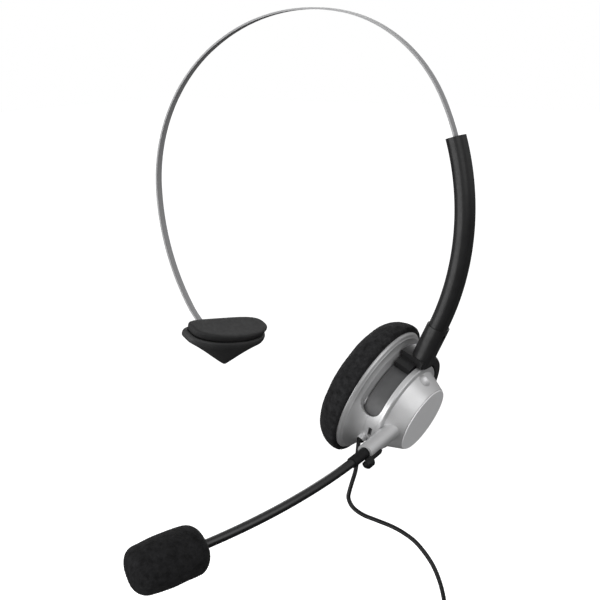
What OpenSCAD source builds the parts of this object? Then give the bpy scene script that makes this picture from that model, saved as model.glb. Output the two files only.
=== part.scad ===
// One-ear office headset: flat steel headband, sliding arm with a turning ear cup,
// swivelling temple pad, curved microphone boom with foam windscreen, cord and 2.5 mm plug.
// Millimetres. +Z up, +X from the temple pad to the ear cup, the wearer faces -Y.
// The origin is the middle of the head at ear height.

/* [Headband] */
// Width of the steel strip
strip_w = 3.4; // [3:0.1:6]
// Thickness of the steel strip
strip_t = 0.7; // [0.5:0.1:1.2]
// Radius of the strip where the arm slides on it
arm_r = 96; // [80:1:120]
// Clear gap between strip and sleeve channel
slide_gap = 0.4; // [0.3:0.05:0.8]

/* [Arm] */
// Width of the sleeve across the head band
sleeve_w = 9.4; // [7:0.2:14]
// Thickness of the sleeve
sleeve_t = 6.4; // [5:0.2:10]
// Angle of arc covered by the sleeve
sleeve_deg = 43; // [30:1:43]
// Width of the yoke bar
yoke_w = 10; // [8:0.2:14]
// Thickness of the yoke bar
yoke_t = 7.6; // [6:0.2:10]

/* [Ear cup] */
// Outward tilt of the cup axis below the horizontal
cup_tilt = 26; // [0:1:35]
// Radius of the cup rim
rim_r = 25.7; // [22:0.1:32]
// Outer radius of the neck behind the rim
neck_r = 18.7; // [16:0.1:22]
// Height of the neck from the rim plane
neck_h = 11.75; // [10:0.05:16]
// Radius of the round end disc
face_r = 13.05; // [9:0.1:15]
// Height of the end disc from the rim plane
face_h = 21.4; // [17:0.1:25]
// Half angle of the window in the neck
window_half = 95; // [60:1:110]
// Turning radius of the yoke ring on the spindle
spindle_r = 13; // [9:0.1:15]

/* [Cushion] */
// Outer radius of the ear cushion
cushion_r = 27.85; // [22:0.05:34]
// Radius of the hollow for the ear
cushion_hole = 13.4; // [9:0.1:18]
// Depth of the cushion in front of the rim
cushion_d = 10.85; // [6:0.05:16]

/* [Boom] */
// Angle of the boom below straight ahead, about the cup axis
boom_drop = 16.3; // [0:0.1:60]
// Outer diameter of the boom holder
holder_d = 6.2; // [5:0.1:9]
// Reach of the holder from the cup axis
holder_reach = 32.2; // [30:0.1:38]
// Diameter of the bendable boom
boom_d = 3.3; // [2.5:0.1:5]
// Radius of the boom bend
bend_r = 182; // [80:1:400]
// Angle of the boom bend up to the microphone
bend_deg = 25.2; // [5:0.1:40]
// Direction of the bend about the boom root
bend_side = 26.5; // [-45:0.5:45]

/* [Windscreen] */
// Diameter of the foam windscreen
foam_d = 17; // [12:0.2:24]
// Length of the foam windscreen
foam_l = 28; // [18:0.5:36]

/* [Temple pad] */
// Half length of the pad
pad_half = 19.3; // [14:0.1:26]
// Width of the pad
pad_w = 12.6; // [8:0.1:18]
// Swivel of the pad about its pin as drawn
pad_turn = 13; // [-18:1:18]
// Upward slope of the pad face
pad_slope = 62; // [40:1:80]

/* [Cord] */
// Diameter of the cord
cord_d = 1.6; // [1.2:0.1:3]
// Mean radius of the wound coil
coil_r = 9; // [7:0.5:14]

/* [Hidden] */

$fn = 64;

// Arc chain of the strip, from the foot of the arm over the head: radius, angle
start_x = 57.8;
start_z = 24.5;
start_h = 64;
arcs = [[arm_r, 51.3], [56, 55.2], [75, 48.2], [67, 54], [98, 28.8], [36, 30.5]];
function arc_h(i) = i == 0 ? start_h : arc_h(i - 1) + arcs[i - 1][1];
function arc_p(i) = i == 0 ? [start_x, start_z] : arc_c(i - 1) + arcs[i - 1][0] * heading_out(arc_h(i));
function heading_out(h) = [sin(h), -cos(h)];
function arc_c(i) = arc_p(i) - arcs[i][0] * heading_out(arc_h(i));
slide_c = arc_c(0);
strip_tail = 20;          // angle from the foot of the arm to the strip end inside the sleeve
eye_run = 2.5;            // straight run to the pad pin
eye_r = 3.4;
join_deg = 0.3;           // overlap of the slimmer arcs with their neighbours
join_step = 0.04;
end_h = arc_h(6);
end_p = arc_p(6);
pin_p = end_p + eye_run * [cos(end_h), sin(end_h)];

// Cup frame: z along the cup axis outward, x down, y to the back of the head
cup_x = 33;
cup_z = -3;
slot_lo = 3.4;            // ring cavity, axial
cavity_r = 17.9;
ring_r = 17.6;
ring_lo = 3.8;
ring_hi = 10.95;
fit = 0.05;
slot_w = 7.6;
hub_z = 16.3;
boom_dir = 270 + boom_drop;
gland_dir = 313;
gland_z = 7.4;
gland_reach = 20.7;
gland_r = 1.6;
fillet_r = 5.4;
floor_z = 2.6;
skirt_r = 24.8;           // part of the shell that the cushion wraps
seat_r = 23.6;

// Boom
tube_in = 22.5;
bend_from = 29.5;         // where the boom starts to bend
hub_in_r = 10.8;
dimple_dir = 191;
root_r = 2.15;
root_deg = 3.4;
housing_r = 4;
housing_l = 14;
foam_back = -2.5;

// Pad frame
pad_mid = 8.05;           // pin centre to pad face
keel_h = 6.6;
keel_x = 3.6;
rim_lip = 1.2;

// Cord route, hung from the gland
cord_sides = 8;
coil_x = 64;
coil_y = -22;
coil_z = -101;
coil_w = 6.4;
coil_t = 8;

module band_arc(i, a0 = 0, a1 = -1) {
    // arc i of the chain, from angle a0 to a1 measured from its start
    last = a1 < 0 ? arcs[i][1] : a1;
    c = arc_c(i);
    translate([c[0], 0, c[1]])
        rotate([90, 0, 0])
            rotate([0, 0, arc_h(i) - 90 + a0])
                rotate_extrude(angle = last - a0, $fn = 128)
                    translate([arcs[i][0], 0])
                        children();
}

module at_cup() {
    translate([cup_x, 0, cup_z])
        rotate([0, 90 + cup_tilt, 0])
            children();
}

module at_pin() {
    translate([pin_p[0], 0, pin_p[1]])
        rotate([0, 90 - pad_slope, 0])
            children();
}

module at_pad() {
    at_pin()
        rotate([0, 0, -pad_turn])
            children();
}

// Radial pieces of the cup: x outward along direction d at height h
module at_radius(d, h) {
    rotate([0, 0, d])
        translate([0, 0, h])
            rotate([0, 90, 0])
                children();
}

module at_boom() {
    at_cup()
        at_radius(boom_dir, hub_z)
            children();
}

module round_rect(w, h, r) {
    square([w - 2 * r, h], center = true);
    square([w, h - 2 * r], center = true);
    for (sx = [-1, 1])
        for (sy = [-1, 1])
            translate([sx * (w / 2 - r), sy * (h / 2 - r)])
                circle(r, $fn = 32);
}

// ---------------------------------------------------------------- headband

module band_strip() {
    color("silver") {
        // every second arc is a hair slimmer and ends inside its neighbours
        band_arc(0, strip_tail) square([strip_t, strip_w], center = true);
        for (i = [2, 4])
            band_arc(i) square([strip_t, strip_w], center = true);
        for (i = [1, 3, 5])
            band_arc(i, -join_deg, arcs[i][1] + join_deg)
                square([strip_t - join_step, strip_w - join_step], center = true);
        difference() {
            at_pin()
                union() {
                    cylinder(h = strip_t, r = eye_r, center = true, $fn = 48);
                    translate([-eye_run / 2 - 0.2, 0, 0])
                        cube([eye_run + 0.4, strip_w, strip_t], center = true);
                }
            at_pin()
                cylinder(h = 3, r = 1.2, center = true, $fn = 32);
        }
    }
}

module strip_shoe() {
    // crimped shoe that guides the strip end in the sleeve
    color("dimgray")
        band_arc(0, strip_tail - 3, strip_tail + 4)
            difference() {
                round_rect(2.5, 5.4, 0.5);
                square([strip_t, strip_w], center = true);
            }
}

// ---------------------------------------------------------------- arm

module arm_sleeve() {
    color([0.08, 0.08, 0.08])
        difference() {
            band_arc(0, 0, sleeve_deg) round_rect(sleeve_t, sleeve_w, 3.1);
            band_arc(0, 2.4, sleeve_deg - 4)
                square([3.4, 6.3], center = true);
            band_arc(0, sleeve_deg - 5, sleeve_deg + 1)
                square([strip_t + 2 * slide_gap, strip_w + 2 * slide_gap], center = true);
            band_arc(0, -1, 1.2)
                square([3, 4.5], center = true);
        }
}

module sleeve_insert() {
    // tongue of the joint between sleeve and yoke
    color([0.12, 0.12, 0.12])
        band_arc(0, -1.7, 1.16)
            square([2.9, 4.4], center = true);
}

bar_z = 10.3;             // yoke bar centre along the cup axis
bar_top = 35.58;          // yoke bar end from the cup axis

module arm_yoke() {
    color([0.08, 0.08, 0.08])
        difference() {
            at_cup()
                yoke_body();
            // mouth for the tongue
            band_arc(0, -1.75, 0.5)
                square([3, 4.5], center = true);
        }
}

module yoke_body() {
    difference() {
        union() {
            // straight bar down to the collar
            translate([-bar_top, 0, bar_z])
                rotate([0, 90, 0])
                    linear_extrude(height = bar_top - 21.6)
                        round_rect(yoke_t, yoke_w, 3.4);
            // rounded foot of the bar
            translate([-21.6, 0, 0])
                intersection() {
                    translate([0, 0, bar_z - yoke_t / 2])
                        cylinder(h = yoke_t, r = yoke_w / 2, $fn = 48);
                    translate([-3, 0, bar_z])
                        rotate([0, 90, 0])
                            linear_extrude(height = 6)
                                round_rect(yoke_t, yoke_w, 3.4);
                }
            // collar outside the neck
            rotate([0, 0, 104])
                rotate_extrude(angle = 90, $fn = 96)
                    translate([19.3, 5.9])
                        polygon([[0, 0], [0.7, -1], [1.7, -2.4], [2.7, -2.9], [3.3, -2.4],
                            [3.3, 6.2], [2.8, 7.1], [0, 7.1]]);
        }
        // clearance over the neck and the hub
        cylinder(h = 22, r = 19.1, $fn = 96);
        // pocket for the screw in the outer face
        translate([-32, 0, bar_z + yoke_t / 2 - 1.6])
            cylinder(h = 3, r = 1.6, $fn = 32);
    }
    // web through the window to the ring
    rotate([0, 0, 168])
        rotate_extrude(angle = 39, $fn = 96)
            translate([ring_r + 0.05, ring_lo + 0.4])
                square([2.7, 6.4]);
}

module yoke_ring() {
    // ring of the yoke that turns on the spindle
    color([0.25, 0.25, 0.25])
        at_cup()
            translate([0, 0, ring_lo])
                difference() {
                    cylinder(h = ring_hi - ring_lo, r = ring_r, $fn = 96);
                    translate([0, 0, -1])
                        cylinder(h = 10, r = spindle_r + fit, $fn = 96);
                }
}

module yoke_screw() {
    color("gray")
        at_cup()
            translate([-32, 0, bar_z + yoke_t / 2 - 1.6])
                difference() {
                    cylinder(h = 0.9, r = 1.55, $fn = 32);
                    translate([0, 0, 0.5])
                        cube([2, 0.45, 1], center = true);
                    translate([0, 0, 0.5])
                        cube([0.45, 2, 1], center = true);
                }
}

// ---------------------------------------------------------------- ear cup

module window_cut() {
    // the lower edge runs down into the fillet
    end_in = 11.3;
    top_z = slot_lo + 0.1 + slot_w;
    rotate([0, 0, 180 - window_half + end_in])
        rotate_extrude(angle = 2 * (window_half - end_in), $fn = 96)
            polygon([[15.5, slot_lo + 0.1], [17.2, slot_lo + 0.1], [21.8, slot_lo - 0.95],
                [21.8, top_z], [15.5, top_z]]);
    for (s = [-1, 1])
        rotate([0, 0, 180 + s * (window_half - end_in)])
            translate([17, 0, top_z - slot_w / 2 - 0.35])
                rotate([0, 90, 0])
                    rotate([0, 0, -90 * s])
                        cylinder(h = 4.8, r = slot_w / 2 + 0.25, $fn = 48);
}

module cup_shell() {
    color([0.72, 0.72, 0.73])
        at_cup()
            difference() {
                union() {
                    rotate_extrude($fn = 128)
                        difference() {
                            polygon([[0, -1.2], [skirt_r, -1.2], [skirt_r, -0.1], [rim_r, -0.1],
                                [rim_r, 0.3], [rim_r - 0.5, 0.9], [neck_r + 5.6, 1.4],
                                [neck_r, 7.1], [neck_r, neck_h], [0, neck_h]]);
                            translate([neck_r + 5.5, 7]) circle(fillet_r, $fn = 96);
                        }
                    // boss for the cord
                    at_radius(gland_dir, gland_z)
                        translate([0, 0, cavity_r + 0.2])
                            cylinder(h = gland_reach - cavity_r - 0.2, r = gland_r, $fn = 32);
                }
                // seats of the baffle, the speaker and its magnet
                translate([0, 0, -1.3])
                    cylinder(h = 1.6, r = seat_r, $fn = 96);
                translate([0, 0, 0.1])
                    cylinder(h = 1.7, r = 18, $fn = 96);
                translate([0, 0, 1.6])
                    cylinder(h = floor_z - 1.6, r = 15, $fn = 96);
                // ring cavity around the centre boss
                difference() {
                    translate([0, 0, slot_lo])
                        cylinder(h = neck_h, r = cavity_r, $fn = 96);
                    translate([0, 0, slot_lo - 1])
                        cylinder(h = 5.5, r = 3.2, $fn = 48);
                }
                // pilot hole of the clamp screw
                translate([0, 0, floor_z + 0.4])
                    cylinder(h = 8, r = 1.3, $fn = 32);
                // lead hole in the floor
                translate([0, 8, floor_z - 0.5])
                    cylinder(h = 3, r = 1.2, $fn = 24);
                window_cut();
                // short slot beside the boom holder
                rotate([0, 0, 290])
                    rotate_extrude(angle = 15, $fn = 96)
                        translate([16.5, 9.1])
                            square([3.5, 1.5]);
                // cord hole
                at_radius(gland_dir, gland_z)
                    translate([0, 0, 16])
                        cylinder(h = 12, r = cord_d / 2 + 0.15, $fn = 24);
            }
}

module hub_shell() {
    color([0.75, 0.75, 0.76])
        at_cup()
            difference() {
                union() {
                    rotate_extrude($fn = 128)
                        polygon([[1.6, neck_h], [18.6, neck_h], [18.6, neck_h + 1], [18.3, neck_h + 1.4],
                            [16.6, neck_h + 1.85], [face_r + 0.45, face_h - 0.85],
                            [face_r + 0.25, face_h - 0.5],
                            [hub_in_r, face_h - 0.5], [hub_in_r, neck_h + 1.7], [1.6, neck_h + 1.7]]);
                    at_radius(boom_dir, hub_z)
                        translate([0, 0, 12.3])
                            cylinder(h = holder_reach - 12.3, r = holder_d / 2, $fn = 64);
                }
                // bores for the boom lead, the boom and its root
                at_radius(boom_dir, hub_z) {
                    translate([0, 0, 8])
                        cylinder(h = tube_in - 8 + 0.1, r = 1.1, $fn = 32);
                    translate([0, 0, tube_in])
                        cylinder(h = 12, r = root_r, $fn = 48);
                }
                // round dimple in the taper
                rotate([0, 0, dimple_dir])
                    translate([17.45, 0, neck_h + 4.9])
                        sphere(3.2, $fn = 48);
            }
}

module hub_cap() {
    // plain end disc with a spigot into the hub
    color([0.55, 0.55, 0.56])
        at_cup()
            rotate_extrude($fn = 128)
                translate([0, face_h])
                    polygon([[0, -2.2], [hub_in_r - 0.05, -2.2], [hub_in_r - 0.05, -0.45],
                        [face_r - 0.08, -0.45], [face_r, -0.36], [face_r, -0.14],
                        [face_r - 0.14, 0], [0, 0]]);
}

module spindle() {
    color([0.2, 0.2, 0.2])
        at_cup()
            difference() {
                translate([0, 0, slot_lo])
                    cylinder(h = neck_h - slot_lo, r = spindle_r, $fn = 96);
                translate([0, 0, slot_lo - 1])
                    cylinder(h = 5.5, r = 3.25, $fn = 48);
                translate([0, 0, slot_lo])
                    cylinder(h = 10, r = 1.5, $fn = 32);
                // lead passage
                translate([0, 8, slot_lo - 1])
                    cylinder(h = 12, r = 1.8, $fn = 24);
                // lightening pockets
                for (a = [30, 150, 210, 330])
                    rotate([0, 0, a])
                        translate([8, 0, slot_lo + 1.2])
                            cylinder(h = 10, r = 2.6, $fn = 32);
            }
}

module clamp_screw() {
    color("gray")
        at_cup()
            difference() {
                union() {
                    translate([0, 0, floor_z + 1])
                        cylinder(h = neck_h + 1.7 - floor_z - 1, r = 1.28, $fn = 32);
                    translate([0, 0, neck_h + 1.7])
                        cylinder(h = 1.8, r = 2.8, $fn = 48);
                }
                translate([0, 0, neck_h + 2.6])
                    linear_extrude(height = 2)
                        for (a = [0, 90])
                            rotate(a) square([3.4, 0.7], center = true);
            }
}

module wave_washer() {
    // thin spring ring that drags on the yoke ring
    color("silver")
        at_cup()
            translate([0, 0, neck_h - 0.4])
                difference() {
                    cylinder(h = 0.4, r = 16.8, $fn = 96);
                    translate([0, 0, -1])
                        cylinder(h = 3, r = 13.4, $fn = 96);
                }
}

module speaker_frame() {
    color([0.3, 0.3, 0.3])
        at_cup()
            difference() {
                union() {
                    translate([0, 0, 0.3])
                        cylinder(h = 0.8, r = 17.9, $fn = 96);
                    translate([0, 0, 0.3])
                        cylinder(h = 1.4, r = 14.8, $fn = 96);
                }
                translate([0, 0, -1])
                    cylinder(h = 2.1, r = 13.4, $fn = 96);
                translate([0, 0, -1])
                    cylinder(h = 5, r = 8.2, $fn = 64);
                for (a = [0:60:300])
                    rotate([0, 0, a])
                        translate([10.8, 0, -1])
                            cylinder(h = 5, r = 1.4, $fn = 24);
            }
}

module speaker_magnet() {
    color([0.45, 0.45, 0.47])
        at_cup()
            translate([0, 0, 1.1])
                cylinder(h = floor_z - 1.15, r = 8.1, $fn = 64);
}

module speaker_cone() {
    // thin domed film in the frame
    color([0.85, 0.85, 0.8])
        at_cup()
            rotate_extrude($fn = 96)
                polygon([[0, 0.55], [5, 0.4], [6, 0.7], [12.2, 0.35], [13.3, 0.5], [13.3, 0.7],
                    [12.2, 0.55], [6, 0.95], [5, 0.65], [0, 0.8]]);
}

module speaker_baffle() {
    color([0.1, 0.1, 0.1])
        at_cup()
            difference() {
                translate([0, 0, -1.2])
                    cylinder(h = 1.45, r = seat_r - 0.05, $fn = 96);
                translate([0, 0, -0.2])
                    cylinder(h = 3, r = 13.2, $fn = 96);
                translate([0, 0, -3])
                    cylinder(h = 5, r = 0.9, $fn = 24);
                for (k = [1:3])
                    for (a = [0:60 / k:359])
                        rotate([0, 0, a])
                            translate([3.3 * k, 0, -3])
                                cylinder(h = 5, r = 0.9, $fn = 24);
            }
}

module baffle_cloth() {
    color([0.15, 0.15, 0.15])
        at_cup()
            translate([0, 0, -1.6])
                cylinder(h = 0.35, r = 13.2, $fn = 96);
}

// Rounded front of the cushion from its crest out to radius r, as points (radius, height)
cushion_top = (cushion_hole + cushion_r) / 2 - 1.1;
function roll(r, a) = [cushion_top + (r - cushion_top) * cos(a), -1.15 - (cushion_d - 1.15) * sin(a)];

module ear_cushion() {
    color([0.13, 0.13, 0.13])
        at_cup()
            rotate_extrude($fn = 96)
                polygon(concat(
                    [[skirt_r + 0.05, -1.25], [skirt_r + 0.05, -0.15], [cushion_r, -0.15]],
                    [for (a = [0:9:90]) roll(cushion_r, a)],
                    [for (a = [81:-9:9]) roll(cushion_hole, a)],
                    [[cushion_hole, -1.25]]));
}

// ---------------------------------------------------------------- boom

module boom_bend(a0, a1) {
    // arc of the boom from a0 to a1, profile drawn on the centre line
    at_boom()
        translate([0, 0, bend_from])
            rotate([0, 0, bend_side])
                translate([bend_r, 0, 0])
                    rotate([90, 0, 0])
                        rotate([0, 0, 180 - a1])
                            rotate_extrude(angle = a1 - a0, $fn = 192)
                                translate([bend_r, 0])
                                    children();
}

module at_boom_end() {
    // z along the tip of the boom
    at_boom()
        translate([0, 0, bend_from])
            rotate([0, 0, bend_side])
                translate([bend_r, 0, 0])
                    rotate([0, bend_deg, 0])
                        translate([-bend_r, 0, 0])
                            children();
}

module boom_root() {
    // plug in the holder and the short stiff sleeve in front of it
    color([0.06, 0.06, 0.06]) {
        at_boom()
            translate([0, 0, tube_in])
                cylinder(h = bend_from - tube_in, r = root_r, $fn = 48);
        boom_bend(0, root_deg)
            difference() {
                circle(root_r - 0.1, $fn = 48);
                circle(boom_d / 2, $fn = 48);
            }
    }
}

module boom_tube() {
    color([0.08, 0.08, 0.08])
        boom_bend(0, bend_deg)
            circle(boom_d / 2, $fn = 48);
}

module boom_clip() {
    // rubber clip under the holder mouth, with a tail along the holder
    color([0.04, 0.04, 0.04])
        at_boom()
            difference() {
                union() {
                    translate([-3.5, 0.9, holder_reach + 0.3])
                        rotate_extrude($fn = 48)
                            polygon([[0, 0], [1.4, 0], [2, 0.7], [2, 3.1], [1.4, 3.9], [0, 4.2]]);
                    translate([-4, -0.9, holder_reach - 5.4])
                        cube([0.85, 1.8, 6.3]);
                }
                translate([0, 0, holder_reach - 1])
                    cylinder(h = 8, r = root_r + 0.3, $fn = 48);
            }
}

module mic_housing() {
    color([0.1, 0.1, 0.1])
        at_boom_end()
            difference() {
                cylinder(h = housing_l, r = housing_r, $fn = 64);
                // capsule pocket and its vents
                translate([0, 0, housing_l - 5])
                    cylinder(h = 6, r = 3.05, $fn = 48);
                for (a = [0:90:270])
                    rotate([0, 0, a])
                        translate([3, 0, 5])
                            rotate([0, 90, 0])
                                cylinder(h = 3, r = 0.6, $fn = 20);
            }
}

module mic_capsule() {
    color("silver")
        at_boom_end()
            translate([0, 0, housing_l - 5])
                difference() {
                    cylinder(h = 4.4, r = 3, $fn = 48);
                    translate([0, 0, 4])
                        cylinder(h = 1, r = 1.1, $fn = 24);
                }
}

module windscreen() {
    color([0.12, 0.12, 0.12])
        at_boom_end()
            translate([0, 0, foam_back])
                rotate_extrude($fn = 64)
                    difference() {
                        union() {
                            translate([0, 4.5]) square([foam_d / 2, foam_l - 9.5]);
                            translate([0, 0]) square([foam_d / 2 - 4.5, foam_l]);
                            translate([foam_d / 2 - 4.5, 4.5]) circle(4.5, $fn = 48);
                            translate([foam_d / 2 - 5, foam_l - 5]) circle(5, $fn = 48);
                        }
                        translate([-20, -1]) square([20, foam_l + 2]);
                        translate([0, -foam_back]) square([housing_r, housing_l]);
                        translate([0, -1]) square([boom_d / 2 + 0.05, 5]);
                    }
}

// ---------------------------------------------------------------- temple pad

// Straight upper edge, bulging lower edge; a runs round the outline
pad_x0 = 1;
pad_y0 = -0.6;
function flat(v) = sign(v) * sqrt(abs(v));
function pad_pt(a, g) = sin(a) > 0
    ? [-pad_x0 + (pad_w * 0.6 + g) * sin(a), pad_y0 + (pad_half + g) * cos(a)]
    : [-pad_x0 + (pad_w * 0.4 + g) * flat(sin(a)), pad_y0 + (pad_half + g) * flat(cos(a))];

module pad_outline(grow) {
    polygon([for (a = [3:6:357]) pad_pt(a, grow)]);
}

module pad_cushion() {
    color([0.16, 0.16, 0.16])
        at_pad() {
            translate([0, 0, 4.4])
                linear_extrude(height = pad_mid - 4.4)
                    pad_outline(0);
        }
}

module pad_shell() {
    color([0.1, 0.1, 0.1])
        at_pin()
            difference() {
                rotate([0, 0, -pad_turn])
                    union() {
                        translate([0, 0, 2.4])
                            linear_extrude(height = 2)
                                pad_outline(rim_lip);
                        // keel, three crossed profiles
                        intersection() {
                            translate([0, 0, -keel_h])
                                linear_extrude(height = keel_h + 2.4)
                                    pad_outline(rim_lip - 0.4);
                            translate([-20, 0, 0])
                                rotate([90, 0, 90])
                                    linear_extrude(height = 40)
                                        polygon([[-pad_half - 1.5, 2.5], [pad_half + 0.5, 2.5],
                                            [1.5, -keel_h], [-2.5, -keel_h]]);
                            translate([0, 30, 0])
                                rotate([90, 0, 0])
                                    linear_extrude(height = 60)
                                        polygon([[-8, 2.5], [9.5, 2.5],
                                            [keel_x + 1.6, -keel_h], [keel_x - 1.6, -keel_h]]);
                        }
                    }
                // slot that lets the strip end swing
                translate([0, 0, -strip_t / 2 - slide_gap])
                    linear_extrude(height = 2.4 + strip_t / 2)
                        rotate(-pad_turn) {
                            circle(eye_r + 0.45, $fn = 48);
                            polygon([[2.2, 2.6], [2.2, -2.6], [-14, -7.3], [-14, 7.3]]);
                        }
                cylinder(h = 8, r = 1.15, center = true, $fn = 32);
            }
}

module pad_pin() {
    color("gray")
        at_pin() {
            translate([0, 0, -3.2])
                cylinder(h = 6.2, r = 1.15, $fn = 32);
        }
}

// ---------------------------------------------------------------- cord

// Route of the hanging cord, from the boss to the coil
route = [
    [33.26, -15.62, -19.34], [33.3, -16.3, -20.4], [33.5, -17.2, -22.8], [33.8, -18.3, -26.2],
    [33.9, -19.6, -29.8], [33.4, -21, -33.4], [32.7, -21.9, -37], [32.4, -22.2, -40], [34.2, -22, -43.3],
    [38.5, -22, -45.5], [44.5, -22, -46.7], [50.5, -22, -47.9], [55.5, -22, -49.6],
    [60, -22, -52], [64, -22, -55.6], [67.5, -22, -60], [70, -22, -65], [71.6, -22, -70],
    [72.5, -22, -75], [72.6, -22, -79.5], [71, -22, -84], [68, -22, -87.6], [65.5, -22, -89.6]];

function lerp(a, b, t) = a * (1 - t) + b * t;
function spline(p, i, t) =
    let (n = len(p) - 1, a = p[max(i - 1, 0)], b = p[i], c = p[i + 1], d = p[min(i + 2, n)])
    0.5 * ((2 * b) + (c - a) * t + (2 * a - 5 * b + 4 * c - d) * t * t
        + (3 * b - a - 3 * c + d) * t * t * t);
function unit(v) = v / norm(v);
steps = 2;
line = [for (i = [0:len(route) - 2]) for (k = [0:steps - 1]) spline(route, i, k / steps),
    route[len(route) - 1]];
last_p = len(line) - 1;
function tangent(i) = unit(line[min(i + 1, last_p)] - line[max(i - 1, 0)]);
function side_v(i) = unit(cross(tangent(i), [0, 1, 0.001]));

module swept(r, sides) {
    pts = [for (i = [0:last_p]) let (t = tangent(i), u = side_v(i), v = cross(t, u))
        for (k = [0:sides - 1]) line[i] + r * (cos(360 * k / sides) * u + sin(360 * k / sides) * v)];
    walls = [for (i = [0:last_p - 1]) for (k = [0:sides - 1])
        [i * sides + k, i * sides + (k + 1) % sides,
            (i + 1) * sides + (k + 1) % sides, (i + 1) * sides + k]];
    caps = [[for (k = [sides - 1:-1:0]) k], [for (k = [0:sides - 1]) last_p * sides + k]];
    polyhedron(points = pts, faces = concat(walls, caps), convexity = 6);
}

module cord_gland() {
    color([0.05, 0.05, 0.05])
        at_cup()
            at_radius(gland_dir, gland_z)
                translate([0, 0, gland_reach])
                    cylinder(h = 0.6, r1 = 1.5, r2 = 1.2, $fn = 32);
}

module cord() {
    color([0.05, 0.05, 0.05]) swept(cord_d / 2, cord_sides);
}

module cord_coil() {
    color([0.05, 0.05, 0.05])
        translate([coil_x, coil_y, coil_z])
            rotate([90, 0, 0])
                rotate_extrude($fn = 64)
                    translate([coil_r, 0])
                        round_rect(coil_w, coil_t, 1.4);
}

module coil_tie() {
    // wire tie round the bundle of turns
    color([0.15, 0.15, 0.15])
        translate([coil_x, coil_y, coil_z])
            rotate([90, 0, 0])
                rotate([0, 0, 250])
                    rotate_extrude(angle = 22, $fn = 64)
                        translate([coil_r, 0])
                            difference() {
                                round_rect(coil_w + 1.4, coil_t + 1.4, 1.9);
                                round_rect(coil_w, coil_t, 1.4);
                            }
}

// Plug frame: z down along the plug from its strain relief
plug_top = coil_z - 7.5;
relief_l = 12;
body_l = 15;
body_r = 3.4;
pin_r = 1.25;
pin_l = 11;

module at_plug() {
    translate([coil_x - coil_r, coil_y, plug_top])
        rotate([180, 0, 0])
            children();
}

module plug_relief() {
    color([0.05, 0.05, 0.05])
        at_plug()
            difference() {
                cylinder(h = relief_l, r1 = 1.5, r2 = 2.3, $fn = 32);
                for (k = [0:3])
                    translate([0, 0, 2.4 + 2.2 * k])
                        difference() {
                            cylinder(h = 0.9, r = 4, $fn = 32);
                            translate([0, 0, -1])
                                cylinder(h = 3, r = 1.35, $fn = 32);
                        }
            }
}

module plug_body() {
    color([0.07, 0.07, 0.07])
        at_plug()
            translate([0, 0, relief_l])
                union() {
                    cylinder(h = 1, r1 = 2.6, r2 = body_r, $fn = 48);
                    translate([0, 0, 1])
                        cylinder(h = body_l - 2.5, r = body_r, $fn = 48);
                    translate([0, 0, body_l - 1.5])
                        cylinder(h = 1.5, r1 = body_r, r2 = 2.4, $fn = 48);
                }
}

module plug_shank() {
    // rear contact and ring contact of the pin
    color("silver")
        at_plug()
            translate([0, 0, relief_l + body_l]) {
                cylinder(h = 4.2, r = pin_r, $fn = 40);
                translate([0, 0, 5])
                    cylinder(h = 1.4, r = pin_r, $fn = 40);
            }
}

module plug_insulator() {
    color([0.05, 0.05, 0.05])
        at_plug()
            translate([0, 0, relief_l + body_l]) {
                translate([0, 0, 4.2])
                    cylinder(h = 0.8, r = pin_r, $fn = 40);
                translate([0, 0, 6.4])
                    cylinder(h = 0.8, r = pin_r, $fn = 40);
            }
}

module plug_tip() {
    color("silver")
        at_plug()
            translate([0, 0, relief_l + body_l + 7.2]) {
                cylinder(h = 1.5, r = pin_r, $fn = 40);
                translate([0, 0, 1.5])
                    cylinder(h = 0.8, r1 = pin_r, r2 = 0.9, $fn = 40);
                translate([0, 0, 2.3])
                    cylinder(h = 1.5, r1 = 1.15, r2 = 0.4, $fn = 40);
            }
}

band_strip();
strip_shoe();
arm_sleeve();
sleeve_insert();
arm_yoke();
yoke_ring();
yoke_screw();
cup_shell();
hub_shell();
hub_cap();
spindle();
clamp_screw();
wave_washer();
speaker_frame();
speaker_magnet();
speaker_cone();
speaker_baffle();
baffle_cloth();
ear_cushion();
boom_root();
boom_tube();
boom_clip();
mic_housing();
mic_capsule();
windscreen();
cord_gland();
cord();
cord_coil();
coil_tie();
plug_relief();
plug_body();
plug_shank();
plug_insulator();
plug_tip();
pad_shell();
pad_pin();
pad_cushion();
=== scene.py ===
import math

import bmesh
import bpy
from mathutils import Matrix, Vector, noise


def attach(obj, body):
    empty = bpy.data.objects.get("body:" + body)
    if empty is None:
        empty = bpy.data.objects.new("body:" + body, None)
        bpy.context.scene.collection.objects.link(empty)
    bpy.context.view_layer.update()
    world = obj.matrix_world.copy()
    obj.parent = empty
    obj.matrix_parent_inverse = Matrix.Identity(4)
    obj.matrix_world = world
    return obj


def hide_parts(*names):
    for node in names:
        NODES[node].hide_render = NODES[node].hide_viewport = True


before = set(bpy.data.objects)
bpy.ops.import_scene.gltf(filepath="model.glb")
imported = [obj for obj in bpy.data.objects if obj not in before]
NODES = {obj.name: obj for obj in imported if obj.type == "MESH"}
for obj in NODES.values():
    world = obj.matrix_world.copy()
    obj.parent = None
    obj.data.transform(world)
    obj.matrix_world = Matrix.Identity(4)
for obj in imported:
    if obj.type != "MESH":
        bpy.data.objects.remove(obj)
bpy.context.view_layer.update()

# Lengths are in mm and angles in degrees, as in part.scad, where no comment says otherwise.
MM = 0.001
scene = bpy.context.scene


# ---------------------------------------------------------------- camera

CAMERA_AT = (0.285, -0.496, 0.140)      # metres
CAMERA_TILT, CAMERA_TURN = 78.984, 30
SENSOR_WIDTH, LENS = 36, 90
CLIP = (0.01, 50)                       # metres


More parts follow.
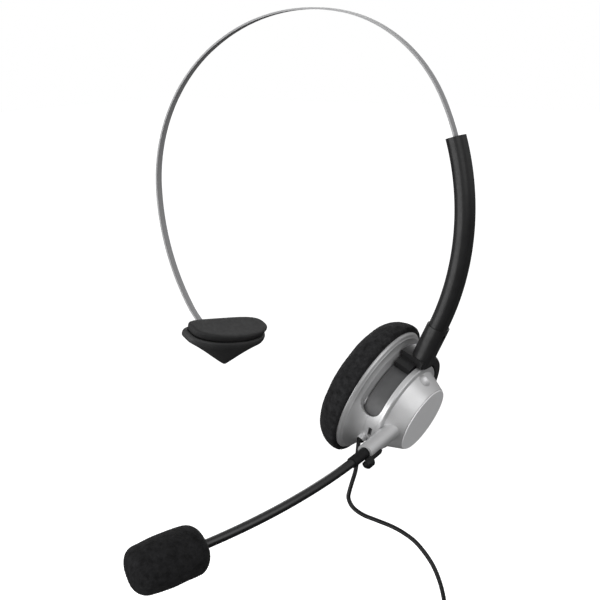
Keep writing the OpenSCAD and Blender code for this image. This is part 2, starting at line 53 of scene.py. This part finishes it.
def make_camera():
    cam = bpy.data.cameras.new("photo_camera")
    cam.sensor_fit = "HORIZONTAL"
    cam.sensor_width = SENSOR_WIDTH
    cam.lens = LENS
    cam.clip_start, cam.clip_end = CLIP
    obj = bpy.data.objects.new("photo_camera", cam)
    obj.location = CAMERA_AT
    obj.rotation_euler = (math.radians(CAMERA_TILT), 0, math.radians(CAMERA_TURN))
    scene.collection.objects.link(obj)
    scene.camera = obj


make_camera()


# ---------------------------------------------------------------- places of the CAD's assemblies

def rot(axis, deg):
    return Matrix.Rotation(math.radians(deg), 4, axis)


def move(x, y, z):
    return Matrix.Translation((x * MM, y * MM, z * MM))


CUP_AT, CUP_LEAN = (33, 0, -3), 116      # foot of the cup's axis, and its angle from straight up
BOOM_DIR, HUB_Z = 286.3, 16.3            # where the boom leaves the hub, about and along the axis
BEND_FROM, BEND_SIDE = 29.5, 26.5        # where the boom's bend starts, and the side it goes to
BEND_R, BEND_DEG = 182, 25.2
PIN_AT, PIN_LEAN, PAD_TURN = (-37.0505, 0, 7.2876), 28, -13

AT_CUP = move(*CUP_AT) @ rot("Y", CUP_LEAN)
AT_BOOM = AT_CUP @ rot("Z", BOOM_DIR) @ move(0, 0, HUB_Z) @ rot("Y", 90)
AT_BOOM_END = (
    AT_BOOM @ move(0, 0, BEND_FROM) @ rot("Z", BEND_SIDE)
    @ move(BEND_R, 0, 0) @ rot("Y", BEND_DEG) @ move(-BEND_R, 0, 0)
)
AT_PAD = move(*PIN_AT) @ rot("Y", PIN_LEAN) @ rot("Z", PAD_TURN)


# ---------------------------------------------------------------- cord

CORD_D = 1.6
# the hanging stretch, from the gland to the coil
ROUTE = [
    (33.26, -15.62, -19.34), (33.3, -16.3, -20.4), (33.5, -17.2, -22.8), (33.8, -18.3, -26.2),
    (33.9, -19.6, -29.8), (33.4, -21, -33.4), (32.7, -21.9, -37), (32.4, -22.2, -40),
    (34.2, -22, -43.3), (38.5, -22, -45.5), (44.5, -22, -46.7), (50.5, -22, -47.9),
    (55.5, -22, -49.6), (60, -22, -52), (64, -22, -55.6), (67.5, -22, -60), (70, -22, -65),
    (71.6, -22, -70), (72.5, -22, -75), (72.6, -22, -79.5), (71, -22, -84), (68, -22, -87.6),
]
ROUTE_STEPS = 4
COIL_C = (64, -22, -101)
COIL_LAYERS = (6.6, 8.2, 9.8, 11.4)
MIDDLE_ROW = 2
# one turn per cell (layer, row), each next to the one before
COIL_CELLS = [
    (3, 2), (3, 3), (3, 4), (2, 4), (2, 3), (1, 3), (1, 4), (0, 4), (0, 3), (0, 2),
    (1, 2), (1, 1), (0, 1), (0, 0), (1, 0), (2, 0), (3, 0), (3, 1), (2, 1), (2, 2),
]
TURN_STEPS = 28
TOP_DEG = 90             # where the first turn starts
LAST_TURN_DEG = 84       # part of a turn that the last cell holds
CHANGE_DEG = 70          # part of a turn in which the cord crosses to the next cell
INTO_PLUG = [(54.3, -22, -103.5), (54.7, -22, -106.2), (55, -22, -109.5)]


def catmull(points, steps):
    """Catmull-Rom curve through the points."""
    out = []
    last = len(points) - 1
    for i in range(last):
        a, b = Vector(points[max(i - 1, 0)]), Vector(points[i])
        c, d = Vector(points[i + 1]), Vector(points[min(i + 2, last)])
        for k in range(steps):
            t = k / steps
            square = (2 * a - 5 * b + 4 * c - d) * t * t
            cube = (3 * b - a - 3 * c + d) * t ** 3
            out.append(0.5 * (2 * b + (c - a) * t + square + cube))
    out.append(Vector(points[last]))
    return out


def coil_points():
    pts = []
    final = len(COIL_CELLS) - 1
    for i, (layer, row) in enumerate(COIL_CELLS):
        last = i == final
        span = LAST_TURN_DEG if last else 360
        next_layer, next_row = COIL_CELLS[min(i + 1, final)]
        steps = max(4, round(TURN_STEPS * span / 360))
        for k in range(steps + (1 if last else 0)):
            deg = span * k / steps
            t = max(0.0, (deg - (360 - CHANGE_DEG)) / CHANGE_DEG)
            t = t * t * (3 - 2 * t)
            r = COIL_LAYERS[layer] * (1 - t) + COIL_LAYERS[next_layer] * t
            y = ((row - MIDDLE_ROW) * (1 - t) + (next_row - MIDDLE_ROW) * t) * CORD_D
            a = math.radians(TOP_DEG + deg)
            x, z = r * math.cos(a), r * math.sin(a)
            pts.append(Vector((COIL_C[0] + x, COIL_C[1] + y, COIL_C[2] + z)))
    return pts


def make_cord(material):
    pts = catmull(ROUTE, ROUTE_STEPS) + coil_points() + [Vector(p) for p in INTO_PLUG]
    curve = bpy.data.curves.new("headset_cord", "CURVE")
    curve.dimensions = "3D"
    curve.bevel_depth = CORD_D / 2 * MM
    curve.bevel_resolution = 4
    curve.use_fill_caps = True
    line = curve.splines.new("POLY")
    line.points.add(len(pts) - 1)
    for point, co in zip(line.points, pts):
        point.co = (co.x * MM, co.y * MM, co.z * MM, 1)
    line.use_smooth = True
    obj = bpy.data.objects.new("headset_cord", curve)
    scene.collection.objects.link(obj)
    curve.materials.append(material)
    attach(obj, "cup")
    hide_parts("cord", "cord_coil")


# ---------------------------------------------------------------- materials

class Material:
    """A Principled material built up from procedural layers in object coordinates.

    The scale of a layer is in features per metre.
    """

    def __init__(self, name, color, rough, metallic=0.0, specular=0.5, **extra):
        self.mat = bpy.data.materials.new(name)
        self.mat.use_nodes = True
        self.tree = self.mat.node_tree
        self.bsdf = self.tree.nodes["Principled BSDF"]
        self.color = color
        self.rough = rough
        self.set("Base Color", (*color, 1))
        self.set("Roughness", rough)
        self.set("Metallic", metallic)
        self.set("Specular IOR Level", specular)
        for key, value in extra.items():
            self.set(key.replace("_", " "), value)
        self.coord = self.new("ShaderNodeTexCoord").outputs["Object"]
        self.normal = None

    def set(self, socket, value):
        self.bsdf.inputs[socket].default_value = value

    def new(self, kind, **inputs):
        node = self.tree.nodes.new(kind)
        for key, value in inputs.items():
            node.inputs[key].default_value = value
        return node

    def link(self, a, b):
        self.tree.links.new(a, b)

    def mapped(self, scale):
        size = scale if hasattr(scale, "__len__") else (scale,) * 3
        node = self.new("ShaderNodeMapping", Scale=size)
        self.link(self.coord, node.inputs["Vector"])
        return node.outputs["Vector"]

    def noise(self, scale, detail=3.0, rough=0.5):
        node = self.new("ShaderNodeTexNoise", Scale=1.0, Detail=detail, Roughness=rough)
        self.link(self.mapped(scale), node.inputs["Vector"])
        return node.outputs["Fac"]

    def cells(self, scale):
        node = self.new("ShaderNodeTexVoronoi", Scale=1.0)
        self.link(self.mapped(scale), node.inputs["Vector"])
        return node.outputs["Distance"]

    def tint(self, value, dark, light):
        """Colour from dark to light, as factors of the base colour."""
        ramp = self.new("ShaderNodeValToRGB")
        for stop, position, factor in zip(ramp.color_ramp.elements, (0.3, 0.7), (dark, light)):
            stop.position = position
            stop.color = (*[min(1, c * factor) for c in self.color], 1)
        self.link(value, ramp.inputs["Fac"])
        self.link(ramp.outputs["Color"], self.bsdf.inputs["Base Color"])

    def roughen(self, value, spread):
        """Roughness that varies by the spread to each side."""
        limits = {"From Min": 0.3, "From Max": 0.7,
                  "To Min": self.rough - spread, "To Max": self.rough + spread}
        node = self.new("ShaderNodeMapRange", **limits)
        self.link(value, node.inputs["Value"])
        self.link(node.outputs["Result"], self.bsdf.inputs["Roughness"])

    def bump(self, height, distance, strength=1.0):
        """Bump of a distance in mm, over the bumps before it."""
        node = self.new("ShaderNodeBump", Strength=strength, Distance=distance * MM)
        self.link(height, node.inputs["Height"])
        if self.normal is not None:
            self.link(self.normal, node.inputs["Normal"])
        self.normal = node.outputs["Normal"]
        self.link(self.normal, self.bsdf.inputs["Normal"])


def steel_brushed(name, color, rough):
    """Steel with fine streaks along the strip, which are close together across it, along y."""
    m = Material(name, color, rough, metallic=0.2, specular=0.2)
    streak = m.noise((140, 5200, 140), 4, 0.65)
    m.roughen(streak, 0.06)
    m.tint(m.noise((25, 3000, 25), 3), 0.88, 1.08)
    m.bump(streak, 0.004, 0.25)
    return m.mat


def steel_turned(name, color, rough):
    m = Material(name, color, rough, metallic=1.0)
    m.roughen(m.noise(2600, 4), 0.08)
    m.tint(m.noise(420, 3), 0.85, 1.06)
    m.bump(m.noise(7000, 2), 0.008, 0.5)
    return m.mat


def silver_paint(name, color, rough, metallic):
    """Painted plastic with fine metal flakes under a thin coat."""
    m = Material(name, color, rough, metallic=metallic, Coat_Weight=0.15, Coat_Roughness=0.25)
    m.tint(m.noise(9500, 2, 0.8), 0.93, 1.05)
    m.roughen(m.noise(240, 4), 0.05)
    m.bump(m.noise(9500, 2), 0.004, 0.25)
    m.bump(m.noise(700, 2), 0.006, 0.2)
    return m.mat


def moulded(name, color, rough, grain=3600, depth=0.02, specular=0.5):
    """Moulded plastic or rubber with a fine spark-eroded grain."""
    m = Material(name, color, rough, specular=specular)
    m.tint(m.noise(180, 4), 0.88, 1.14)
    m.roughen(m.noise(700, 4), 0.06)
    m.bump(m.noise(grain, 3, 0.6), depth, 0.6)
    return m.mat


def foam_look(name, color, pore, depth, light):
    """Open-cell foam, with patches up to the light factor where the cells stand open."""
    m = Material(name, color, 0.95, specular=0.1, Sheen_Weight=0.02, Sheen_Roughness=0.6)
    fine = m.noise(pore * 2.3, 3, 0.7)
    m.tint(m.noise(420, 5, 0.7), 0.45, light)
    m.bump(m.cells(pore), depth, 0.9)
    m.bump(fine, depth * 0.4, 0.6)
    return m.mat


THREAD_PITCH = 0.5
WAVE_PERIOD = 0.31       # of a wave texture at scale 1


def weave(name, color):
    """Thin woven cloth."""
    m = Material(name, color, 0.9, specular=0.3)
    both = m.new("ShaderNodeMath")
    both.operation = "MAXIMUM"
    for socket, direction in zip(both.inputs, "XY"):
        wave = m.new("ShaderNodeTexWave", Scale=WAVE_PERIOD / (THREAD_PITCH * MM))
        wave.bands_direction = direction
        m.link(m.coord, wave.inputs["Vector"])
        m.link(wave.outputs["Fac"], socket)
    m.tint(m.noise(800, 3), 0.8, 1.3)
    m.bump(both.outputs[0], 0.08, 0.8)
    return m.mat


LOOK = {
    "strip": steel_brushed("spring_steel", (0.35, 0.35, 0.355), 0.5),
    "screw": steel_turned("plain_steel", (0.20, 0.20, 0.21), 0.38),
    "magnet": steel_turned("plated_steel", (0.45, 0.45, 0.46), 0.3),
    "arm": moulded("arm_black", (0.017, 0.017, 0.0175), 0.34, 5200, 0.010, 0.24),
    "inner": moulded("inner_black", (0.007, 0.007, 0.0075), 0.6, specular=0.2),
    "grey": moulded("inner_grey", (0.075, 0.075, 0.077), 0.42, depth=0.012, specular=0.35),
    "silver": silver_paint("silver_shell", (0.60, 0.60, 0.605), 0.42, 0.5),
    "disc": silver_paint("hub_disc", (0.86, 0.86, 0.87), 0.5, 0.0),
    "film": moulded("speaker_film", (0.55, 0.53, 0.45), 0.35, 1200),
    "cloth": weave("grille_cloth", (0.012, 0.012, 0.013)),
    "cushion": foam_look("cushion_foam", (0.0105, 0.0105, 0.011), 1300, 0.18, 2.8),
    "foam": foam_look("windscreen_foam", (0.0095, 0.0095, 0.010), 1500, 0.16, 1.95),
    "boom": moulded("boom_rubber", (0.009, 0.009, 0.0095), 0.3, 2600, 0.012),
    "cord": moulded("cord_rubber", (0.005, 0.005, 0.0055), 0.4, 3000, specular=0.25),
    "plug": moulded("plug_black", (0.007, 0.007, 0.0075), 0.3, 2400, specular=0.35),
    "contact": steel_turned("plated_contact", (0.75, 0.75, 0.74), 0.18),
    "pad_shell": moulded("pad_plastic", (0.036, 0.036, 0.0365), 0.5, 4200, 0.016, 0.25),
    "pad_foam": moulded("pad_soft", (0.029, 0.029, 0.0294), 0.7, 5200, 0.03, 0.22),
}
CAD_LOOK = {
    "band_strip": "strip", "strip_shoe": "grey", "arm_sleeve": "arm", "sleeve_insert": "inner",
    "arm_yoke": "arm", "yoke_ring": "grey", "yoke_screw": "screw", "cup_shell": "silver",
    "hub_shell": "silver", "hub_cap": "disc", "spindle": "grey", "clamp_screw": "screw",
    "wave_washer": "strip", "speaker_frame": "inner", "speaker_magnet": "magnet",
    "speaker_cone": "film", "speaker_baffle": "inner", "baffle_cloth": "cloth",
    "boom_root": "inner", "boom_tube": "boom", "boom_clip": "cord", "mic_housing": "inner",
    "mic_capsule": "magnet", "cord_gland": "cord", "coil_tie": "inner", "plug_relief": "cord",
    "plug_body": "plug", "plug_shank": "contact", "plug_insulator": "inner",
    "plug_tip": "contact", "pad_shell": "pad_shell", "pad_pin": "screw",
    "pad_cushion": "pad_foam", "ear_cushion": "cushion", "windscreen": "foam", "cord": "cord",
    "cord_coil": "cord",
}


def paint(obj, material):
    if obj.material_slots:
        for s in obj.material_slots:
            s.material = material
    else:
        obj.data.materials.append(material)


for node_name, obj in NODES.items():
    paint(obj, LOOK[CAD_LOOK[node_name]])

make_cord(LOOK["cord"])


# ---------------------------------------------------------------- mesh helpers

def mesh_object(name, verts, faces, material):
    mesh = bpy.data.meshes.new(name)
    mesh.from_pydata([tuple(v) for v in verts], [], faces)
    mesh.update()
    for poly in mesh.polygons:
        poly.use_smooth = True
    obj = bpy.data.objects.new(name, mesh)
    scene.collection.objects.link(obj)
    mesh.materials.append(material)
    return obj


def applied(obj):
    """Bake an object's modifiers into its mesh."""
    bpy.context.view_layer.update()
    fine = obj.evaluated_get(bpy.context.evaluated_depsgraph_get())
    mesh = bpy.data.meshes.new_from_object(fine)
    obj.modifiers.clear()
    obj.data = mesh


def revolve(profile, sides, place, close_ring=False):
    """Closed mesh turned about local z from (radius, z) points. A ring's profile is closed."""
    verts, faces = [], []
    count = len(profile)
    for k in range(sides):
        a = 2 * math.pi * k / sides
        for r, z in profile:
            verts.append(Vector((r * math.cos(a) * MM, r * math.sin(a) * MM, z * MM)))
    rows = count if close_ring else count - 1
    for k in range(sides):
        n = (k + 1) % sides
        for i in range(rows):
            j = (i + 1) % count
            faces.append((k * count + i, n * count + i, n * count + j, k * count + j))
    if not close_ring:
        faces.append(tuple(k * count for k in range(sides - 1, -1, -1)))
        faces.append(tuple(k * count + count - 1 for k in range(sides)))
    return [place @ v for v in verts], faces


def loft(name, rings, place, material):
    """Closed object through outlines of as many (x, y, z) points each."""
    verts = [place @ Vector((x * MM, y * MM, z * MM)) for ring in rings for x, y, z in ring]
    count = len(rings[0])
    faces = []
    for i in range(len(rings) - 1):
        low, high = i * count, (i + 1) * count
        for k in range(count):
            n = (k + 1) % count
            faces.append((low + k, low + n, high + n, high + k))
    faces.append(tuple(range(count - 1, -1, -1)))
    faces.append(tuple(range((len(rings) - 1) * count, len(rings) * count)))
    obj = mesh_object(name, verts, faces, material)
    bm = bmesh.new()
    bm.from_mesh(obj.data)
    bmesh.ops.recalc_face_normals(bm, faces=bm.faces)
    bm.to_mesh(obj.data)
    bm.free()
    return obj


CELL_EDGE = 2.2          # how sharply a foam cell's wall rises
CELL_MEAN = 0.55         # keeps the foam's mean surface where it was
SOFT_SIZE = 7            # size of the slow unevenness of foam


def pore_shift(p, size, depth):
    """Shift of an open-cell surface at p, in metres: out at a cell's wall, in at its middle."""
    d = noise.voronoi(p / (size * MM))[0]
    edge = min(1.0, (d[1] - d[0]) * CELL_EDGE)
    return depth * MM * (CELL_MEAN - edge)


def roughen_mesh(obj, size, depth, swell):
    """Foam cells of a size and depth, on slow swellings."""
    mesh = obj.data
    normals = [v.normal.copy() for v in mesh.vertices]
    for v, n in zip(mesh.vertices, normals):
        soft = noise.noise(v.co / (SOFT_SIZE * MM)) * swell * MM
        v.co += n * (pore_shift(v.co, size, depth) + soft)
    mesh.update()


# ---------------------------------------------------------------- ear cushion

CUSHION_OUT, CUSHION_IN, CUSHION_TOP = 27.75, 13.5, 19.525      # radii of side, hole and crest
CUSHION_BACK, CUSHION_FRONT = -1.3, -10.75
# round the skirt of the cup to the outer side, as (radius, z)
CUSHION_SKIRT = [
    (24.9, -1.3), (24.9, -0.75), (24.95, -0.25), (25.6, -0.17), (26.4, -0.17), (27.2, -0.22),
    (27.55, -0.4), (27.7, -0.75),
]
# flat on the grille, outwards from the hole
CUSHION_SEAT = (0.6, 2.5, 4.5, 6.5, 8.5, 10)
CUSHION_SIDES = 190


def cushion_profile():
    """Section of the ring as (radius, z), from the cup's skirt round its crest to the grille."""
    out = list(CUSHION_SKIRT)
    for reach, angles in ((CUSHION_OUT, range(0, 90, 5)), (CUSHION_IN, range(90, -1, -5))):
        for deg in angles:
            a = math.radians(deg)
            out.append((
                CUSHION_TOP + (reach - CUSHION_TOP) * math.cos(a),
                CUSHION_BACK + (CUSHION_FRONT - CUSHION_BACK) * math.sin(a),
            ))
    out += [(CUSHION_IN + x, CUSHION_BACK) for x in CUSHION_SEAT]
    return out


def make_cushion():
    verts, faces = revolve(cushion_profile(), CUSHION_SIDES, AT_CUP, close_ring=True)
    obj = mesh_object("ear_cushion_foam", verts, faces, LOOK["cushion"])
    sub = obj.modifiers.new("fine", "SUBSURF")
    sub.levels = sub.render_levels = 1
    applied(obj)
    roughen_mesh(obj, size=0.7, depth=0.10, swell=0.16)
    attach(obj, "cup")
    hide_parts("ear_cushion")


# ---------------------------------------------------------------- windscreen

FOAM_D, FOAM_L, FOAM_BACK = 18.2, 28.0, -2.5
FOAM_BORE = 1.68                 # radius of the hole for the boom
FOAM_BORE_END, FOAM_BORE_LIP = 3.0, 1.0
FOAM_SLIM = 0.11                 # how much slimmer the ends are than the middle
SHOULDERS = (5.4, 5.0)           # how far the rounding reaches from the back and from the nose
SHOULDER_POWER, SHOULDER_DROP = 2.2, 0.72
NOSE_RINGS, NOSE_CROWN = (0.75, 0.5, 0.25, 0.08), 0.25
FOAM_STEPS, FOAM_SIDES = 64, 150


def foam_radius(t):
    """Radius at t of the length: a barrel, slightly slimmer to its ends, with round shoulders."""
    z = t * FOAM_L
    side = 1 - FOAM_SLIM * (2 * t - 1) ** 2
    shoulder = 1.0
    for edge, reach in zip((z, FOAM_L - z), SHOULDERS):
        if edge < reach:
            q = 1 - edge / reach
            drop = (1 - math.sqrt(max(0.0, 1 - q ** SHOULDER_POWER))) * SHOULDER_DROP
            shoulder = min(shoulder, 1 - drop)
    return FOAM_D / 2 * side * shoulder


def make_windscreen():
    profile = [(FOAM_BORE, FOAM_BORE_END), (FOAM_BORE, FOAM_BACK + FOAM_BORE_LIP)]
    for k in range(FOAM_STEPS + 1):
        t = k / FOAM_STEPS
        profile.append((foam_radius(t), FOAM_BACK + t * FOAM_L))
    nose = profile[-1][0]
    for f in NOSE_RINGS:
        profile.append((nose * f, FOAM_BACK + FOAM_L + NOSE_CROWN * (1 - f)))
    verts, faces = revolve(profile, FOAM_SIDES, AT_BOOM_END)
    obj = mesh_object("windscreen_foam", verts, faces, LOOK["foam"])
    roughen_mesh(obj, size=0.75, depth=0.12, swell=0.3)
    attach(obj, "cup")
    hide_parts("windscreen")


# ---------------------------------------------------------------- temple pad

PAD_STEPS = 120
FACE = dict(half=20.75, y0=0.85, upper=5.9, lower=7.55)
SHELL = dict(half=20.2, y0=0.2, upper=5.1, lower=7.5)
PAD_SHIFT = 1            # how far the outlines' middle line lies above the pin
# how boxy the upper corners are at the far and at the near end, where 1 is round
FAR_CORNER, NEAR_CORNER = 0.55, 0.36
# the soft face from its back round its rounded edge, as (z, growth of the outline)
FACE_EDGE = (
    (4.5, -1.6), (4.55, -0.9), (5.0, -0.6), (5.6, -0.35), (6.4, -0.15), (7.1, 0), (7.55, -0.06),
    (7.85, -0.3), (8.0, -0.7), (8.03, -1.3),
)
FACE_CROWN = 0.14
CROWN_RINGS = (0.9, 0.75, 0.6, 0.45, 0.3, 0.15)
# the shell from its seat under the face round its lip, as (z, growth of the outline)
SHELL_LIP = (
    (4.3, -1.6), (4.45, -1.0), (4.9, -0.5), (5.1, 0.1), (5.05, 0.45), (4.8, 0.75), (4.3, 1.0),
    (3.6, 1.1), (2.9, 1.05), (2.2, 0.85),
)
SHELL_POWER = 0.9
KEEL, KEEL_DEPTH, KEEL_STEPS = (4.75, 0.5), 9.4, 26
RIDGE_POWER, RIDGE_HOLLOW = 0.92, 0.05
# slot that lets the end of the strip swing: round at the pin, with straight sides to its mouth
SLOT_R, SLOT_SPREAD = 2.6, 1.55
SLOT_ARC = range(-80, 81, 16)
SLOT_MOUTH = [(-16, 7.6), (-16, -7.6)]
SLOT_LOW, SLOT_HIGH = -0.75, 1.9
SHARP_DEG = 40


def pad_ring(form, z, grow, low=1.0, scale=1.0, centre=(0, 0)):
    """One closed outline of the pad, straight above and bulging below, in the pad's frame."""
    out = []
    for k in range(PAD_STEPS):
        a = 2 * math.pi * (k + 0.5) / PAD_STEPS
        c, s = math.cos(a), math.sin(a)
        power = low if s > 0 else FAR_CORNER if c > 0 else NEAR_CORNER
        reach = form["lower" if s > 0 else "upper"] + grow
        x = math.copysign(abs(s) ** power, s) * reach - PAD_SHIFT
        y = math.copysign(abs(c) ** power, c) * (form["half"] + grow) + form["y0"]
        out.append((
            centre[0] + (x - centre[0]) * scale,
            centre[1] + (y - centre[1]) * scale,
            z,
        ))
    return out


def make_pad_face():
    rings = [pad_ring(FACE, z, grow) for z, grow in FACE_EDGE]
    top, inset = FACE_EDGE[-1]
    for t in CROWN_RINGS:
        z = top - FACE_CROWN * (1 - t)
        rings.append(pad_ring(FACE, z, inset, scale=t, centre=(0, FACE["y0"])))
    obj = loft("pad_face_soft", rings, AT_PAD, LOOK["pad_foam"])
    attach(obj, "pad")
    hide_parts("pad_cushion")


def make_pad_shell():
    rings = [pad_ring(SHELL, z, grow, SHELL_POWER) for z, grow in SHELL_LIP]
    keel_from, grow = SHELL_LIP[-1]
    for k in range(1, KEEL_STEPS):
        t = k / KEEL_STEPS
        # straight ridges to a rounded tip
        scale = (1 - t) ** RIDGE_POWER * (1 - RIDGE_HOLLOW * math.sin(math.pi * t))
        power = SHELL_POWER + (1 - SHELL_POWER) * t
        z = keel_from - KEEL_DEPTH * t
        rings.append(pad_ring(SHELL, z, grow * (1 - t), power, scale, KEEL))
    obj = loft("pad_shell_smooth", rings, AT_PAD, LOOK["pad_shell"])
    angles = [math.radians(deg) for deg in SLOT_ARC]
    wedge = [
        (SLOT_R * math.cos(a) * SLOT_SPREAD, SLOT_R * math.sin(a) * SLOT_SPREAD) for a in angles
    ] + SLOT_MOUTH
    slot = [[(x, y, z) for x, y in wedge] for z in (SLOT_LOW, SLOT_HIGH)]
    cutter = loft("pad_cutter", slot, AT_PAD, LOOK["pad_shell"])
    cut = obj.modifiers.new("slot", "BOOLEAN")
    cut.object = cutter
    cut.solver = "EXACT"
    applied(obj)
    bpy.data.objects.remove(cutter, do_unlink=True)
    for poly in obj.data.polygons:
        poly.use_smooth = True
    obj.data.set_sharp_from_angle(angle=math.radians(SHARP_DEG))
    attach(obj, "pad")
    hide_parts("pad_shell")


make_cushion()
make_windscreen()
make_pad_face()
make_pad_shell()


# ---------------------------------------------------------------- stage and light

FLOOR_SIZE, FLOOR_AT = 14, (0, 3, -0.6)          # metres
# colour and glow of the floor where it is looked at, and where it only gives light
FLOOR_COLOR, FLOOR_GLOW = (0.9, 0.06), (0.62, 0.0)
SKY_SEEN = 1.0
SKY_UP = (0.25, -0.45, 0.85)     # the studio's light comes from above and from the front
SKY_FADE = {"From Min": -0.75, "From Max": 0.5, "To Min": 0.14, "To Max": 0.6}
# name, place and size in metres, watts; all are aimed at the origin
LIGHTS = (
    ("key_light", (-0.50, -1.35, -0.12), (1.7, 0.8), 16),
    ("side_light", (1.15, -0.45, 0.60), (1.2, 1.2), 6),
    ("back_light", (-0.70, 1.20, 0.50), (1.2, 1.2), 8),
)


def seen_or_not(tree, seen, unseen):
    """One value where the stage itself is looked at, and another where it only gives light."""
    path = tree.nodes.new("ShaderNodeLightPath")
    node = tree.nodes.new("ShaderNodeMapRange")
    tree.links.new(path.outputs["Is Camera Ray"], node.inputs["Value"])
    node.inputs["To Max"].default_value = seen
    if hasattr(unseen, "default_value"):
        tree.links.new(unseen, node.inputs["To Min"])
    else:
        node.inputs["To Min"].default_value = unseen
    return node.outputs["Result"]


def make_floor():
    bpy.ops.mesh.primitive_plane_add(size=FLOOR_SIZE, location=FLOOR_AT)
    floor = bpy.context.object
    floor.name = "stage_floor"
    m = Material("stage_white", (0.9, 0.9, 0.9), 0.9, specular=0.1)
    m.set("Emission Color", (1, 1, 1, 1))
    m.link(seen_or_not(m.tree, *FLOOR_COLOR), m.bsdf.inputs["Base Color"])
    m.link(seen_or_not(m.tree, *FLOOR_GLOW), m.bsdf.inputs["Emission Strength"])
    floor.data.materials.append(m.mat)


def make_studio():
    world = bpy.data.worlds.new("studio")
    scene.world = world
    world.use_nodes = True
    tree = world.node_tree
    back = tree.nodes["Background"]
    coord = tree.nodes.new("ShaderNodeTexCoord")
    dot = tree.nodes.new("ShaderNodeVectorMath")
    dot.operation = "DOT_PRODUCT"
    dot.inputs[1].default_value = Vector(SKY_UP).normalized()
    tree.links.new(coord.outputs["Generated"], dot.inputs[0])
    ramp = tree.nodes.new("ShaderNodeMapRange")
    ramp.interpolation_type = "SMOOTHSTEP"
    for socket, value in SKY_FADE.items():
        ramp.inputs[socket].default_value = value
    tree.links.new(dot.outputs["Value"], ramp.inputs["Value"])
    strength = seen_or_not(tree, SKY_SEEN, ramp.outputs["Result"])
    tree.links.new(strength, back.inputs["Strength"])
    back.inputs["Color"].default_value = (1, 1, 1, 1)
    scene.view_settings.view_transform = "Standard"


def area_light(name, place, size, power):
    data = bpy.data.lights.new(name, "AREA")
    data.shape = "RECTANGLE"
    data.size, data.size_y = size
    data.energy = power
    obj = bpy.data.objects.new(name, data)
    obj.location = place
    obj.rotation_euler = (-Vector(place)).to_track_quat("-Z", "Y").to_euler()
    scene.collection.objects.link(obj)


make_floor()
make_studio()
for light in LIGHTS:
    area_light(*light)
